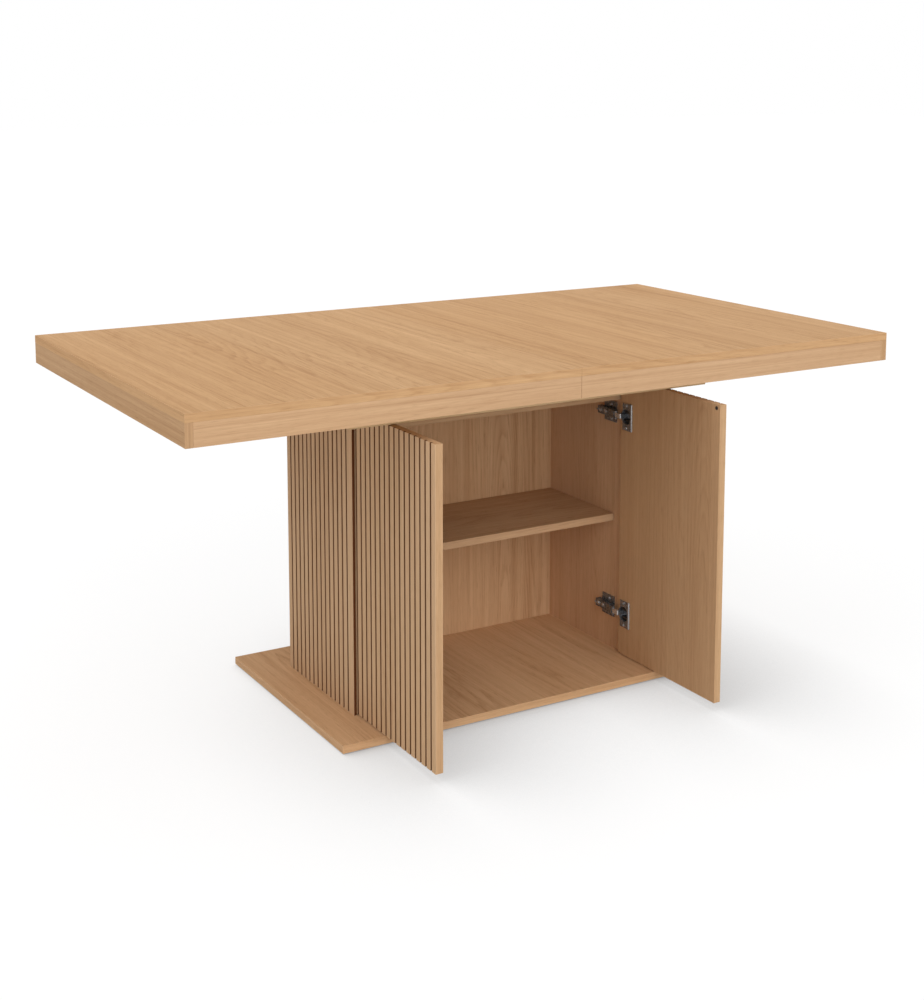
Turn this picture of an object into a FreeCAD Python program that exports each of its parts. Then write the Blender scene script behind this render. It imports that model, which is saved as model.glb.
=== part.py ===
"""Extending oak table on a pedestal cabinet with two fluted doors.

Millimetres, +Z up, X along the table. The origin lies on the floor under the middle of
the base plate. The doors stand open towards -Y and the two halves of the top are closed.
"""
import FreeCAD
import Part
import Sketcher

import os
import re

from FreeCAD import Placement, Rotation, Vector

# Driving sizes: name, millimetres or count, meaning
SIZES = [
    ("overrun", 2.0, "how far a cutting tool runs past the face it cuts"),
    ("table_length", 1600.0, "closed top, along X"),
    ("table_width", 900.0, "top, along Y"),
    ("table_height", 750.0, "floor to the top face"),
    ("top_thick", 16.0, "top panel"),
    ("apron_height", 44.0, "apron below the top panel"),
    ("apron_thick", 15.0, "apron board"),
    ("seam_gap", 0.6, "joint between the halves of the top"),
    ("peg_radius", 4.0, "alignment peg at the seam"),
    ("peg_depth", 15.0, "peg hole in each half"),
    ("peg_end_gap", 0.5, "room at each end of a peg"),
    ("peg_fit", 0.06, "radial clearance of a peg"),
    ("peg_near", 120.0, "inner pegs from the middle line"),
    ("peg_far", 330.0, "outer pegs from the middle line"),
    ("block_size", 40.0, "corner block inside the aprons, along X and Y"),
    ("block_height", 30.0, "corner block"),
    ("base_length", 857.0, "base plate, along X"),
    ("base_width", 544.0, "base plate, along Y"),
    ("base_thick", 16.0, "base plate"),
    ("glide_height", 2.0, "glide under the base plate"),
    ("glide_radius", 15.0, "glide"),
    ("glide_inset", 60.0, "outer glides from the edges of the base plate"),
    ("carcass_length", 690.0, "cabinet over both side panels"),
    ("carcass_depth", 312.0, "side panel, along Y"),
    ("carcass_front", 152.0, "front edges of the cabinet before the middle line"),
    ("side_thick", 14.0, "side panel"),
    ("lip_thick", 6.0, "what the door rebate leaves of a side panel"),
    ("rebate_depth", 20.0, "door rebate in a side panel, along Y"),
    ("back_thick", 8.0, "back panel"),
    ("flute_width", 4.6, "groove between two slats"),
    ("flute_depth", 4.0, "groove between two slats"),
    ("side_flute_pitch", 20.6, "groove to groove on a side panel"),
    ("side_flute_front", 25.0, "first groove from the front edge of a side panel"),
    ("side_flute_back", 17.5, "least room behind the last groove of a side panel"),
    ("door_flute_pitch", 20.1, "groove to groove on a door"),
    ("door_flute_edge", 16.5, "first groove from the hinge edge, least room at the free edge"),
    ("rail_height", 53.0, "rails under the carrier plate"),
    ("rail_thick", 16.0, "rails under the carrier plate"),
    ("shelf_height", 330.0, "floor to the shelf's top face"),
    ("shelf_thick", 16.0, "shelf"),
    ("shelf_setback", 47.0, "shelf behind the front edges of the cabinet"),
    ("shelf_gap", 1.5, "room at the ends and back of the shelf"),
    ("pin_radius", 2.5, "shelf pin"),
    ("pin_embed", 8.0, "shelf pin in the side panel"),
    ("pin_reach", 9.0, "shelf pin out of the side panel"),
    ("pin_inset", 35.0, "shelf pins from the front and back of the shelf"),
    ("pin_fit", 0.05, "radial clearance of pins, screws and plungers"),
    ("plate_length", 845.0, "carrier plate, along X"),
    ("plate_thick", 16.0, "carrier plate"),
    ("slide_room", 69.0, "between carrier plate and top panel"),
    ("bracket_leg", 30.0, "angle bracket between side panel and carrier plate"),
    ("bracket_width", 20.0, "angle bracket, along Y"),
    ("bracket_thick", 2.0, "angle bracket"),
    ("bracket_spread", 60.0, "angle brackets from the middle line"),
    ("beam_thick", 20.0, "runner beam, along Y"),
    ("beam_height", 50.0, "runner beam"),
    ("channel_length", 800.0, "steel channel on a runner beam"),
    ("channel_depth", 12.0, "steel channel, along Y"),
    ("channel_height", 40.0, "steel channel"),
    ("channel_wall", 1.5, "steel channel"),
    ("channel_lip", 8.0, "lip above and below the channel's slot"),
    ("channel_rise", 5.0, "channel above the carrier plate"),
    ("bar_clear", 0.4, "room round a sliding bar in its channel"),
    ("bar_length", 380.0, "sliding bar and its batten"),
    ("bar_inset", 10.0, "sliding bar from the seam"),
    ("neck_reach", 4.0, "sliding bar out of the channel's slot"),
    ("batten_thick", 22.0, "batten between sliding bar and top panel"),
    ("batten_gap", 8.0, "batten above the carrier plate"),
    ("leaf_length", 400.0, "extension leaf, along X"),
    ("leaf_thick", 16.0, "board of the leaf"),
    ("leaf_gap", 0.6, "between the folded boards"),
    ("leaf_room", 45.0, "between folded leaf and runner beams"),
    ("bearer_height", 6.0, "bearer under the folded leaf"),
    ("bearer_width", 20.0, "bearer under the folded leaf"),
    ("bearer_length", 440.0, "bearer, along Y"),
    ("bearer_spread", 130.0, "bearers and leaf hinges from the seam"),
    ("leaf_hinge_length", 40.0, "hinge of the leaf, along X"),
    ("leaf_hinge_height", 12.0, "hinge plate on the edge of a board"),
    ("leaf_hinge_thick", 1.2, "hinge plate"),
    ("leaf_barrel_radius", 3.0, "barrel of the leaf's hinge"),
    ("door_thick", 16.0, "door"),
    ("door_bottom_gap", 2.0, "door above the base plate"),
    ("door_top_gap", 2.5, "door below the carrier plate"),
    ("door_mid_gap", 2.0, "between the closed doors"),
    ("door_side_gap", 2.5, "closed door from the wall of its rebate"),
    ("door_chamfer", 3.0, "outer corner of the hinge edge"),
    ("pivot_edge", 6.0, "hinge axis from the door's hinge edge"),
    ("pivot_face", 6.5, "hinge axis from the door's outer face"),
    ("hinge_low", 95.0, "lower hinge from the door's bottom"),
    ("hinge_high", 84.5, "upper hinge from the door's top"),
    ("cup_edge", 22.0, "middle of a hinge cup from the door's hinge edge"),
    ("cup_radius", 17.5, "hinge cup"),
    ("cup_depth", 10.5, "hinge cup in the door"),
    ("cup_wall", 1.0, "hinge cup"),
    ("cup_clear", 0.1, "room round a hinge cup"),
    ("flange_radius", 19.0, "flange round a hinge cup"),
    ("flange_thick", 2.4, "flange of a hinge cup"),
    ("wing_width", 27.0, "screw wing of the flange, along the door"),
    ("wing_height", 60.0, "screw wings from end to end"),
    ("strap_edge", 6.5, "strap in the cup from the door's hinge edge"),
    ("strap_thick", 4.0, "strap in the cup, along the door"),
    ("strap_width", 8.0, "strap in the cup, along Z"),
    ("strap_rise", 4.5, "strap out of the door's inner face"),
    ("screw_spread", 25.0, "flange screws from the middle of the cup"),
    ("screw_head_radius", 3.6, "flange screw"),
    ("screw_head_height", 1.3, "flange screw"),
    ("screw_radius", 1.75, "flange screw"),
    ("screw_length", 9.0, "flange screw in the door"),
    ("mount_front", 40.0, "hinge mount behind the front edges"),
    ("mount_length", 44.0, "hinge mount, along Y"),
    ("mount_height", 46.0, "hinge mount"),
    ("mount_thick", 3.0, "hinge mount"),
    ("mount_screw_spread", 16.0, "mount screws from the middle of the hinge"),
    ("mount_screw_back", 57.0, "mount screws behind the front edges"),
    ("mount_screw_radius", 2.0, "mount screw"),
    ("mount_screw_length", 8.0, "mount screw in the side panel"),
    ("arm_width", 17.0, "hinge arm, along Z"),
    ("arm_thick", 12.0, "hinge arm on its mount"),
    ("arm_back", 93.0, "rear end of the hinge arm behind the front edges"),
    ("crank_wall", 43.0, "crank of the arm on the wall side, behind the front edges"),
    ("crank_room", 52.0, "crank of the arm on the room side, behind the front edges"),
    ("nose_back", 23.0, "link pin behind the front edges"),
    ("nose_off", 17.0, "link pin from the side panel"),
    ("nose_radius", 4.0, "nose of the hinge arm"),
    ("nose_slot", 11.0, "slot in the nose for the link, along Z"),
    ("nose_slot_gap", 0.6, "slot behind the end of the link"),
    ("link_length", 17.0, "hinge link from its pin to its tip"),
    ("link_end_radius", 2.2, "rounded ends of the hinge link"),
    ("link_gap", 0.3, "hinge link above and below in the slot"),
    ("link_pin_radius", 1.5, "pin through nose and link"),
    ("strike_edge", 11.0, "middle of the strike from the door's free edge"),
    ("strike_top", 7.5, "middle of the strike from the door's top"),
    ("strike_radius", 4.0, "strike disc"),
    ("strike_thick", 1.0, "strike disc"),
    ("housing_width", 16.0, "push catch, along X"),
    ("housing_height", 18.0, "push catch"),
    ("housing_length", 55.0, "push catch, along Y"),
    ("plunger_radius", 3.0, "plunger of the push catch"),
    ("plunger_length", 50.0, "plunger of the push catch"),
    ("plunger_gap", 0.3, "plunger from the strike of the closed door"),
    ("plunger_bore", 36.0, "bore of the push catch"),
    ("plunger_pass", 0.5, "room round the plunger in the rail"),
]

# Places and sizes that follow from the driving sizes; a front is a distance before the middle line
PLACES = {
    "half_length": "table_length / 2",
    "half_width": "table_width / 2",
    "top_bottom": "table_height - top_thick",
    "apron_bottom": "top_bottom - apron_height",
    "base_top": "glide_height + base_thick",
    "plate_top": "top_bottom - slide_room",
    "plate_bottom": "plate_top - plate_thick",
    "carcass_height": "plate_bottom - base_top",
    "side_outer": "carcass_length / 2",
    "side_inner": "side_outer - side_thick",
    "carcass_back": "carcass_depth - carcass_front",
    "back_inner": "carcass_back - back_thick",
    "rail_front": "carcass_front - rebate_depth",
    "rail_bottom": "plate_bottom - rail_height",
    "shelf_front": "carcass_front - shelf_setback",
    "shelf_bottom": "shelf_height - shelf_thick",
    "leaf_half": "half_width / 2",
    "beam_outer": "leaf_half + leaf_room + beam_thick",
    "channel_outer": "beam_outer + channel_depth",
    "plate_width": "2 * channel_outer",
    "channel_bottom": "plate_top + channel_rise",
    "batten_inner": "channel_outer + neck_reach",
    "batten_bottom": "plate_top + batten_gap",
    "leaf_bottom": "plate_top + bearer_height",
    "leaf_fold": "leaf_bottom + leaf_thick + leaf_gap / 2",
    "door_edge": "side_outer - lip_thick - door_side_gap",
    "door_width": "door_edge - door_mid_gap / 2",
    "door_bottom": "base_top + door_bottom_gap",
    "door_height": "carcass_height - door_bottom_gap - door_top_gap",
    "door_top": "door_bottom + door_height",
    "pivot_front": "carcass_front - pivot_face",
    "door_inner": "door_edge - pivot_edge + pivot_face - door_thick",
    "door_start": "pivot_front - pivot_edge",
    "cup_front": "door_start + cup_edge",
    "hinge_low_z": "door_bottom + hinge_low",
    "hinge_high_z": "door_top - hinge_high",
    "link_x": "side_inner - nose_off",
    "link_front": "carcass_front - nose_back",
    "link_width": "nose_slot - 2 * link_gap",
    "mount_screw_y": "mount_screw_back - carcass_front",
    "strike_z": "door_top - strike_top",
    "catch_x": "door_mid_gap / 2 + strike_edge",
    "catch_front": "rail_front - rail_thick",
    "plunger_tip": "carcass_front - door_thick - strike_thick - plunger_gap",
    "side_flutes": "floor((carcass_depth - side_flute_front - side_flute_back) / side_flute_pitch) + 1",
    "door_flutes": "floor((door_width - 2 * door_flute_edge) / door_flute_pitch) + 1",
}

HINGES = ("hinge_low_z", "hinge_high_z")
ENDS = (("under", "-"), ("over", "+"))
ALONG_X = Rotation(Vector(0, 1, 0), 90)
ALONG_Y = Rotation(Vector(1, 0, 0), -90)
ALONG_Z = Rotation()
BACKWARDS = Rotation(Vector(0, 0, 1), 90)
FORWARDS = Rotation(Vector(0, 0, 1), -90)

doc = FreeCAD.newDocument("extending_table")
sheet = doc.addObject("Spreadsheet::Sheet", "Sizes")
rows = [(name, str(number), meaning) for name, number, meaning in SIZES]
rows += [(name, "=" + formula, "follows from other sizes") for name, formula in PLACES.items()]
for row, (name, content, meaning) in enumerate(rows, start=1):
    sheet.set(f"A{row}", name)
    sheet.set(f"B{row}", content)
    sheet.set(f"C{row}", meaning)
    sheet.setAlias(f"B{row}", name)
doc.recompute()
cells = {name for name, content, meaning in rows}
pieces = []


def spelled(formula):
    """Points the names in a formula to their cells in the sheet."""
    def word(match):
        name = match.group()
        return "Sizes." + name if name in cells else name
    return re.sub(r"[a-z]\w*", word, formula)


def bind(thing, formulas):
    """Ties properties of an object to formulas."""
    for path, formula in formulas.items():
        thing.setExpression(path, spelled(formula))


def place(thing, x, y, z, turn=ALONG_Z):
    """Turns an object and ties its place to formulas."""
    thing.Placement = Placement(Vector(), turn)
    bind(thing, {"Placement.Base.x": x, "Placement.Base.y": y, "Placement.Base.z": z})
    return thing


def box(name, x, y, z, length, width, height):
    """A square block from its lowest corner."""
    block = doc.addObject("Part::Box", name)
    bind(block, {"Length": length, "Width": width, "Height": height})
    return place(block, x, y, z)


def rod(name, x, y, z, radius, length, turn):
    """A round rod from the middle of its first end."""
    cylinder = doc.addObject("Part::Cylinder", name)
    bind(cylinder, {"Radius": radius, "Height": length})
    return place(cylinder, x, y, z, turn)


def joined(name, shapes):
    """One solid from shapes that meet."""
    fuse = doc.addObject("Part::MultiFuse", name)
    fuse.Shapes = shapes
    return fuse


def group(name, shapes):
    """Separate solids that share one node."""
    compound = doc.addObject("Part::Compound", name)
    compound.Links = shapes
    return compound


def cut(name, shape, tools):
    """A shape with tools cut out of it."""
    cutting = doc.addObject("Part::Cut", name)
    cutting.Base = shape
    cutting.Tool = tools[0] if len(tools) == 1 else group(name + "_tools", tools)
    return cutting


def mirrored(name, shape, normal):
    """The mirror image of a shape across a plane through the origin."""
    image = doc.addObject("Part::Mirroring", name)
    image.Source = shape
    image.Normal = normal
    return image


def keep(thing):
    """Counts an object among the pieces of the table."""
    pieces.append(thing)
    return thing


def keep_pair(name, right):
    """Keeps a right-hand piece and its left-hand mirror image."""
    right.Label = name + "_right"
    keep(right)
    return keep(mirrored(name + "_left", right, Vector(1, 0, 0)))


def outline(body, name, corners):
    """A closed outline of straight edges on the body's XY plane.

    It starts as a regular polygon in the unit circle, and formulas pull each corner to its place.
    """
    sketch = body.newObject("Sketcher::SketchObject", name)
    plane = next(part for part in body.Origin.OriginFeatures if part.Role == "XY_Plane")
    sketch.AttachmentSupport = [(plane, "")]
    sketch.MapMode = "FlatFace"
    count = len(corners)
    points = [Rotation(Vector(0, 0, 1), 360 * corner / count).multVec(Vector(1, 0, 0))
              for corner in range(count)]
    for start in range(count):
        sketch.addGeometry(Part.LineSegment(points[start], points[(start + 1) % count]))
    for start in range(count):
        sketch.addConstraint(Sketcher.Constraint("Coincident", start, 2, (start + 1) % count, 1))
    for corner, (x, y) in enumerate(corners):
        for kind, formula, at in (("DistanceX", x, points[corner].x), ("DistanceY", y, points[corner].y)):
            tie = sketch.addConstraint(Sketcher.Constraint(kind, -1, 1, corner, 1, at))
            sketch.setExpression(f"Constraints[{tie}]", spelled(formula))
    return sketch


def padded(name, corners, height):
    """A body with an outline padded upwards."""
    body = doc.addObject("PartDesign::Body", name)
    pad = body.newObject("PartDesign::Pad", name + "_pad")
    pad.Profile = outline(body, name + "_outline", corners)
    bind(pad, {"Length": height})
    doc.recompute()
    return body


def fluted(body, corners, pitch, count):
    """Cuts a row of upright grooves along the body's own X axis."""
    before = body.Shape.Volume
    flute = body.newObject("PartDesign::Pocket", body.Name + "_flute")
    flute.Profile = outline(body, body.Name + "_flute_outline", corners)
    flute.Type = "ThroughAll"
    flute.Reversed = True
    doc.recompute()
    flutes = body.newObject("PartDesign::LinearPattern", body.Name + "_flutes")
    flutes.Originals = [flute]
    axis = next(part for part in body.Origin.OriginFeatures if part.Role == "X_Axis")
    flutes.Direction = (axis, [""])
    bind(flutes, {"Length": f"({count} - 1) * {pitch}", "Occurrences": count})
    body.Tip = flutes
    doc.recompute()
    if body.Shape.Volume >= before:
        raise RuntimeError(body.Name + ": the flutes cut nothing")
    return body


def build_base():
    """The base plate, which is also the cabinet's floor, on its glides."""
    keep(box("base_plate", "-base_length / 2", "-base_width / 2", "glide_height",
             "base_length", "base_width", "base_thick"))
    places = [("0", "0")]
    for across in ("-1", "1"):
        for along in ("-1", "1"):
            places.append((f"{across} * (base_length / 2 - glide_inset)",
                           f"{along} * (base_width / 2 - glide_inset)"))
    glides = [rod(f"glide_{number}", x, y, "0", "glide_radius", "glide_height", ALONG_Z)
              for number, (x, y) in enumerate(places)]
    keep(group("base_glides", glides))


def build_carcass():
    """Side panels with flutes and door rebates, back panel and the two rails."""
    panel = padded("side_board", [("0", "0"), ("carcass_depth", "0"), ("carcass_depth", "side_thick"),
                                  ("rebate_depth", "side_thick"), ("rebate_depth", "lip_thick"),
                                  ("0", "lip_thick")], "carcass_height")
    first, last = "side_flute_front - flute_width / 2", "side_flute_front + flute_width / 2"
    fluted(panel, [(first, "-overrun"), (last, "-overrun"), (last, "flute_depth"), (first, "flute_depth")],
           "side_flute_pitch", "side_flutes")
    place(panel, "side_outer", "-carcass_front", "base_top", BACKWARDS)
    holes = [rod(f"pin_hole_{number}", "side_inner - overrun", y, "shelf_bottom - pin_radius",
                 "pin_radius + pin_fit", "pin_embed + overrun", ALONG_X)
             for number, y in enumerate(pin_places())]
    for level in HINGES:
        for name, sign in ENDS:
            holes.append(rod(f"mount_hole_{name}_{level}", "side_inner - overrun", "mount_screw_y",
                             f"{level} {sign} mount_screw_spread", "mount_screw_radius + pin_fit",
                             "mount_screw_length + cup_clear + overrun", ALONG_X))
    keep_pair("side_panel", cut("side_panel_right", panel, holes))
    keep(box("back_panel", "-side_inner", "back_inner", "base_top",
             "2 * side_inner", "back_thick", "carcass_height"))
    rail = box("front_rail_board", "-side_inner", "-rail_front", "rail_bottom",
               "2 * side_inner", "rail_thick", "rail_height")
    passes = [rod(f"plunger_pass_{name}", f"{sign} * catch_x", "-rail_front - overrun", "strike_z",
                  "plunger_radius + plunger_pass", "rail_thick + 2 * overrun", ALONG_Y)
              for name, sign in (("left", "-1"), ("right", "1"))]
    keep(cut("front_rail", rail, passes))
    keep(box("rear_rail", "-side_inner", "back_inner - rail_thick", "rail_bottom",
             "2 * side_inner", "rail_thick", "rail_height"))


def pin_places():
    """Where the shelf pins stand along Y."""
    return "pin_inset - shelf_front", "back_inner - shelf_gap - pin_inset"


def build_shelf():
    """The shelf on its four pins."""
    keep(box("shelf", "shelf_gap - side_inner", "-shelf_front", "shelf_bottom",
             "2 * (side_inner - shelf_gap)", "shelf_front + back_inner - shelf_gap", "shelf_thick"))
    right = [rod(f"shelf_pin_{number}", "side_inner - pin_reach", y, "shelf_bottom - pin_radius",
                 "pin_radius", "pin_reach + pin_embed", ALONG_X)
             for number, y in enumerate(pin_places())]
    left = [mirrored(pin.Name + "_left", pin, Vector(1, 0, 0)) for pin in right]
    keep(group("shelf_pins", right + left))


def build_carrier():
    """The plate that carries the sliding top, its brackets, runner beams and steel channels."""
    keep(box("carrier_plate", "-plate_length / 2", "-plate_width / 2", "plate_bottom",
             "plate_length", "plate_width", "plate_thick"))
    brackets = []
    for name, y in (("front", "-bracket_spread - bracket_width"), ("rear", "bracket_spread")):
        upright = box(f"bracket_upright_{name}", "side_inner - bracket_thick", y, "plate_bottom - bracket_leg",
                      "bracket_thick", "bracket_width", "bracket_leg")
        flat = box(f"bracket_flat_{name}", "side_inner - bracket_leg", y, "plate_bottom - bracket_thick",
                   "bracket_leg", "bracket_width", "bracket_thick")
        bracket = joined(f"bracket_{name}", [upright, flat])
        brackets += [bracket, mirrored(f"bracket_{name}_left", bracket, Vector(1, 0, 0))]
    keep(group("plate_brackets", brackets))
    beam = keep(box("runner_beam_rear", "-plate_length / 2", "beam_outer - beam_thick", "plate_top",
                    "plate_length", "beam_thick", "beam_height"))
    keep(mirrored("runner_beam_front", beam, Vector(0, 1, 0)))
    profile = box("channel_outside", "-channel_length / 2", "beam_outer", "channel_bottom",
                  "channel_length", "channel_depth", "channel_height")
    inside = box("channel_inside", "-channel_length / 2 - overrun", "beam_outer + channel_wall",
                 "channel_bottom + channel_wall", "channel_length + 2 * overrun",
                 "channel_depth - 2 * channel_wall", "channel_height - 2 * channel_wall")
    slot = box("channel_slot", "-channel_length / 2 - overrun", "channel_outer - channel_wall - overrun",
               "channel_bottom + channel_lip", "channel_length + 2 * overrun",
               "channel_wall + 2 * overrun", "channel_height - 2 * channel_lip")
    channel = keep(cut("slide_channel_rear", profile, [joined("channel_room", [inside, slot])]))
    keep(mirrored("slide_channel_front", channel, Vector(0, 1, 0)))


def build_leaf():
    """The extension leaf, folded in two on bearers under the top."""
    bearers = [box(f"bearer_{name}", f"{sign} * bearer_spread - bearer_width / 2", "-bearer_length / 2",
                   "plate_top", "bearer_width", "bearer_length", "bearer_height")
               for name, sign in (("left", "-1"), ("right", "1"))]
    keep(group("leaf_bearers", bearers))
    for name, z in (("lower", "leaf_bottom"), ("upper", "leaf_fold + leaf_gap / 2")):
        keep(box(f"leaf_board_{name}", "-leaf_length / 2", "-leaf_half", z,
                 "leaf_length", "2 * leaf_half", "leaf_thick"))
    hinges = []
    for name, sign in (("left", "-1"), ("right", "1")):
        start = f"{sign} * bearer_spread - leaf_hinge_length / 2"
        plates = box(f"leaf_plates_{name}", start, "leaf_half", "leaf_fold - leaf_hinge_height",
                     "leaf_hinge_length", "leaf_hinge_thick", "2 * leaf_hinge_height")
        barrel = rod(f"leaf_barrel_{name}", start, "leaf_half + leaf_barrel_radius", "leaf_fold",
                     "leaf_barrel_radius", "leaf_hinge_length", ALONG_X)
        hinges.append(joined(f"leaf_hinge_{name}", [plates, barrel]))
    keep(group("leaf_hinges", hinges))


def build_doors():
    """The fluted doors with their strike discs, drilled for hinge cups and screws."""
    board = padded("door_board", [("0", "0"), ("door_width", "0"), ("door_width", "door_thick"),
                                  ("door_chamfer", "door_thick"), ("0", "door_thick - door_chamfer")],
                   "door_height")
    first, last = "door_flute_edge - flute_width / 2", "door_flute_edge + flute_width / 2"
    floor, past = "door_thick - flute_depth", "door_thick + overrun"
    fluted(board, [(first, floor), (last, floor), (last, past), (first, past)], "door_flute_pitch", "door_flutes")
    place(board, "door_inner", "-door_start", "door_bottom", FORWARDS)
    holes = []
    for level in HINGES:
        holes.append(rod(f"cup_hole_{level}", "door_inner - overrun", "-cup_front", level,
                         "cup_radius + cup_clear", "cup_depth + cup_clear + overrun", ALONG_X))
        for name, sign in ENDS:
            holes.append(rod(f"screw_hole_{name}_{level}", "door_inner - overrun", "-cup_front",
                             f"{level} {sign} screw_spread", "screw_radius + pin_fit",
                             "screw_length + cup_clear + overrun", ALONG_X))
    keep_pair("door_panel", cut("door_panel_right", board, holes))
    keep_pair("strike_disc", rod("strike_disc_right", "door_inner - strike_thick",
                                 "strike_edge - door_start - door_width", "strike_z",
                                 "strike_radius", "strike_thick", ALONG_X))


def hinge_cup(level):
    """A hinge cup with its flange, and the strap inside it that meets the link."""
    shell = rod(f"cup_shell_{level}", "door_inner", "-cup_front", level, "cup_radius", "cup_depth", ALONG_X)
    disc = rod(f"cup_disc_{level}", "door_inner - flange_thick", "-cup_front", level,
               "flange_radius", "flange_thick", ALONG_X)
    wings = box(f"cup_wings_{level}", "door_inner - flange_thick", "-cup_front - wing_width / 2",
                f"{level} - wing_height / 2", "flange_thick", "wing_width", "wing_height")
    mouth = rod(f"cup_mouth_{level}", "door_inner - flange_thick - overrun", "-cup_front", level,
                "cup_radius - cup_wall", "flange_thick + overrun + cup_depth - cup_wall", ALONG_X)
    screws = [rod(f"wing_hole_{name}_{level}", "door_inner - flange_thick - overrun", "-cup_front",
                  f"{level} {sign} screw_spread", "screw_radius + pin_fit", "flange_thick + overrun", ALONG_X)
              for name, sign in ENDS]
    hollow = cut(f"cup_hollow_{level}", joined(f"cup_solid_{level}", [shell, disc, wings]), [mouth] + screws)
    strap = box(f"cup_strap_{level}", "door_inner - strap_rise", "-door_start - strap_edge - strap_thick",
                f"{level} - strap_width / 2", "strap_rise + cup_depth - cup_wall / 2", "strap_thick",
                "strap_width")
    return joined(f"cup_{level}", [hollow, strap])


def screw(name, seat, y, z, radius, length):
    """A screw along X with its head on a seat."""
    head = rod(f"{name}_head", f"{seat} - screw_head_height", y, z,
               "screw_head_radius", "screw_head_height", ALONG_X)
    shank = rod(f"{name}_shank", seat, y, z, radius, length, ALONG_X)
    return joined(name, [head, shank])


def hinge_mount(level):
    """A plate on the side panel with a screw above and below the arm."""
    plate = box(f"mount_plate_{level}", "side_inner - mount_thick", "mount_front - carcass_front",
                f"{level} - mount_height / 2", "mount_thick", "mount_length", "mount_height")
    holes = [rod(f"mount_bore_{name}_{level}", "side_inner - mount_thick - overrun", "mount_screw_y",
                 f"{level} {sign} mount_screw_spread", "mount_screw_radius + pin_fit",
                 "mount_thick + 2 * overrun", ALONG_X) for name, sign in ENDS]
    return cut(f"mount_{level}", plate, holes)


def hinge_arm(level):
    """A cranked arm from its mount on the side panel to the nose that holds the link's pin."""
    room = "mount_thick + arm_thick"
    body = padded(f"arm_body_{level}", [("crank_wall", "mount_thick"), ("arm_back", "mount_thick"),
                                   ("arm_back", room), ("crank_room", room),
                                   ("nose_back", "nose_off + nose_radius"),
                                   ("nose_back", "nose_off - nose_radius")], "arm_width")
    place(body, "side_inner", "-carcass_front", f"{level} - arm_width / 2", BACKWARDS)
    nose = rod(f"arm_nose_{level}", "link_x", "-link_front", f"{level} - arm_width / 2",
               "nose_radius", "arm_width", ALONG_Z)
    eye = rod(f"arm_eye_{level}", "link_x", "-link_front", f"{level} - arm_width / 2 - overrun",
              "link_pin_radius + pin_fit", "arm_width + 2 * overrun", ALONG_Z)
    slot = box(f"arm_slot_{level}", "link_x - nose_radius - overrun", "-link_front - nose_radius - overrun",
               f"{level} - nose_slot / 2", "2 * (nose_radius + overrun)",
               "nose_radius + overrun + link_end_radius + nose_slot_gap", "nose_slot")
    whole = joined(f"arm_whole_{level}", [body, nose])
    return cut(f"arm_{level}", whole, [joined(f"arm_room_{level}", [eye, slot])])


def hinge_link(level):
    """A bar with rounded ends in the slot of the nose, on a pin through both."""
    low = f"{level} - link_width / 2"
    bar = box(f"link_bar_{level}", "link_x - link_end_radius", "-link_front - link_length", low,
              "2 * link_end_radius", "link_length", "link_width")
    ends = [rod(f"link_{name}_{level}", "link_x", f"-({front})", low, "link_end_radius", "link_width", ALONG_Z)
            for name, front in (("root", "link_front"), ("tip", "link_front + link_length"))]
    pin = rod(f"link_pin_{level}", "link_x", "-link_front", f"{level} - arm_width / 2",
              "link_pin_radius", "arm_width", ALONG_Z)
    return joined(f"link_{level}", [bar, pin] + ends)


def build_hinges():
    """Two concealed hinges for each door."""
    keep_pair("hinge_cups", group("hinge_cups_right", [hinge_cup(level) for level in HINGES]))
    screws = [screw(f"cup_screw_{name}_{level}", "door_inner - flange_thick", "-cup_front",
                    f"{level} {sign} screw_spread", "screw_radius", "flange_thick + screw_length")
              for level in HINGES for name, sign in ENDS]
    keep_pair("cup_screws", group("cup_screws_right", screws))
    keep_pair("hinge_mounts", group("hinge_mounts_right", [hinge_mount(level) for level in HINGES]))
    screws = [screw(f"mount_screw_{name}_{level}", "side_inner - mount_thick", "mount_screw_y",
                    f"{level} {sign} mount_screw_spread", "mount_screw_radius", "mount_thick + mount_screw_length")
              for level in HINGES for name, sign in ENDS]
    keep_pair("mount_screws", group("mount_screws_right", screws))
    keep_pair("hinge_arms", group("hinge_arms_right", [hinge_arm(level) for level in HINGES]))
    keep_pair("hinge_links", group("hinge_links_right", [hinge_link(level) for level in HINGES]))


def build_catches():
    """The push catches behind the front rail, one for each door."""
    block = box("housing_block", "catch_x - housing_width / 2", "-catch_front", "plate_bottom - housing_height",
                "housing_width", "housing_length", "housing_height")
    bore = rod("housing_bore", "catch_x", "-catch_front - overrun", "strike_z", "plunger_radius + pin_fit",
               "plunger_bore + overrun", ALONG_Y)
    housing = cut("housing_right", block, [bore])
    keep(group("catch_housings", [housing, mirrored("housing_left", housing, Vector(1, 0, 0))]))
    keep_pair("catch_plunger", rod("catch_plunger_right", "catch_x", "-plunger_tip", "strike_z",
                                   "plunger_radius", "plunger_length", ALONG_Y))


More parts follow.
